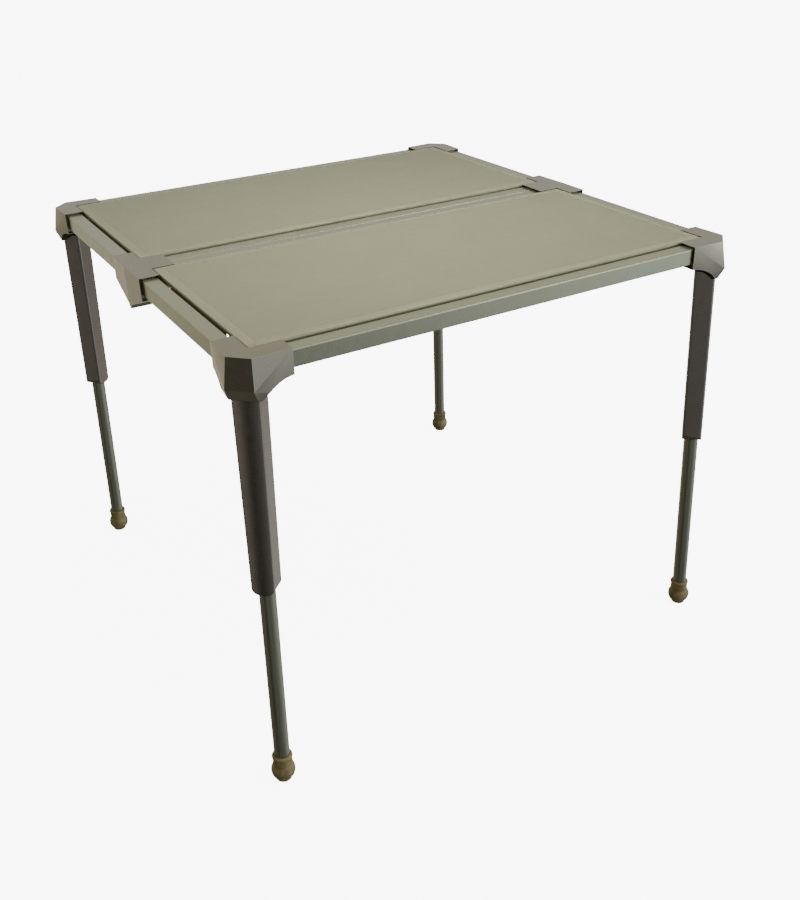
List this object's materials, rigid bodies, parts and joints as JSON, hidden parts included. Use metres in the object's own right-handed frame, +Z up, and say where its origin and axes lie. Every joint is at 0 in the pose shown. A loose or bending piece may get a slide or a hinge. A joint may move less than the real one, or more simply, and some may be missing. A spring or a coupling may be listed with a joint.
{
  "type": "folding camping table",
  "caption": "Square folding camping table: two framed half tops hinged along the centre, with splayed telescopic legs that fold into the underside.",
  "frame": {"origin": "on the floor under the middle of the table top, where the centre seam crosses the middle of the width, as the bottom centre of the whole table", "axes": "+X runs along the long rails to the right-hand end, +Y runs across the seam from the near half to the far half, +Z points up"},
  "size_m": [0.854, 0.865, 0.7],
  "materials": {
    "frame": "satin olive-grey paint on square tube",
    "panel": "satin olive-grey moulding with fine dimples inside a smooth border",
    "moulding": "satin bronze-grey moulding",
    "leg_cover": "satin dark grey-brown moulding",
    "tube": "satin grey-olive tube",
    "bush": "plain dark sliding plastic",
    "foot": "olive-brown rubber",
    "fastener": "zinc-plated steel"
  },
  "bodies": {
    "far_half": {"long_rail_far": "frame", "centre_rail_far": "frame", "panel_far": "panel", "panel_screws_far": "fastener", "frame_rivets_far": "fastener", "side_rail_far_left": "frame", "corner_casting_far_left": "moulding", "hinge_block_far_left": "moulding", "leg_pivot_pin_far_left": "fastener", "side_rail_far_right": "frame", "corner_casting_far_right": "moulding", "hinge_block_far_right": "moulding", "leg_pivot_pin_far_right": "fastener", "hinge_pin_left": "fastener", "hinge_pin_right": "fastener"},
    "near_half": {"long_rail_near": "frame", "centre_rail_near": "frame", "panel_near": "panel", "panel_screws_near": "fastener", "frame_rivets_near": "fastener", "side_rail_near_left": "frame", "corner_casting_near_left": "moulding", "hinge_block_near_left": "moulding", "leg_pivot_pin_near_left": "fastener", "side_rail_near_right": "frame", "corner_casting_near_right": "moulding", "hinge_block_near_right": "moulding", "leg_pivot_pin_near_right": "fastener"},
    "upper_leg_near_left": {"leg_head_near_left": "leg_cover", "leg_housing_near_left": "leg_cover", "guide_bush_near_left": "bush"},
    "lower_leg_near_left": {"leg_tube_near_left": "tube", "tube_plug_near_left": "bush", "foot_near_left": "foot"},
    "upper_leg_near_right": {"leg_head_near_right": "leg_cover", "leg_housing_near_right": "leg_cover", "guide_bush_near_right": "bush"},
    "lower_leg_near_right": {"leg_tube_near_right": "tube", "tube_plug_near_right": "bush", "foot_near_right": "foot"},
    "upper_leg_far_left": {"leg_head_far_left": "leg_cover", "leg_housing_far_left": "leg_cover", "guide_bush_far_left": "bush"},
    "lower_leg_far_left": {"leg_tube_far_left": "tube", "tube_plug_far_left": "bush", "foot_far_left": "foot"},
    "upper_leg_far_right": {"leg_head_far_right": "leg_cover", "leg_housing_far_right": "leg_cover", "guide_bush_far_right": "bush"},
    "lower_leg_far_right": {"leg_tube_far_right": "tube", "tube_plug_far_right": "bush", "foot_far_right": "foot"}
  },
  "joints": [
    {"name": "centre_fold", "type": "hinge", "parent": "far_half", "child": "near_half", "pos_m": [0, 0, 0.641], "axis": [1, 0, 0], "range_deg": [0, 60]},
    {"name": "leg_fold_near_left", "type": "hinge", "parent": "near_half", "child": "upper_leg_near_left", "pos_m": [-0.38513, -0.39063, 0.672], "axis": [0.7071, -0.7071, 0], "range_deg": [0, 91.4]},
    {"name": "leg_slide_near_left", "type": "slide", "parent": "upper_leg_near_left", "child": "lower_leg_near_left", "axis": [0.0271, 0.0271, 0.9993], "range_m": [0, 0.215]},
    {"name": "leg_fold_near_right", "type": "hinge", "parent": "near_half", "child": "upper_leg_near_right", "pos_m": [0.38513, -0.39063, 0.672], "axis": [0.7071, 0.7071, 0], "range_deg": [0, 91.4]},
    {"name": "leg_slide_near_right", "type": "slide", "parent": "upper_leg_near_right", "child": "lower_leg_near_right", "axis": [-0.0271, 0.0271, 0.9993], "range_m": [0, 0.215]},
    {"name": "leg_fold_far_left", "type": "hinge", "parent": "far_half", "child": "upper_leg_far_left", "pos_m": [-0.38513, 0.39063, 0.672], "axis": [-0.7071, -0.7071, 0], "range_deg": [0, 91.4]},
    {"name": "leg_slide_far_left", "type": "slide", "parent": "upper_leg_far_left", "child": "lower_leg_far_left", "axis": [0.0271, -0.0271, 0.9993], "range_m": [0, 0.215]},
    {"name": "leg_fold_far_right", "type": "hinge", "parent": "far_half", "child": "upper_leg_far_right", "pos_m": [0.38513, 0.39063, 0.672], "axis": [-0.7071, 0.7071, 0], "range_deg": [0, 91.4]},
    {"name": "leg_slide_far_right", "type": "slide", "parent": "upper_leg_far_right", "child": "lower_leg_far_right", "axis": [-0.0271, -0.0271, 0.9993], "range_m": [0, 0.215]}
  ]
}
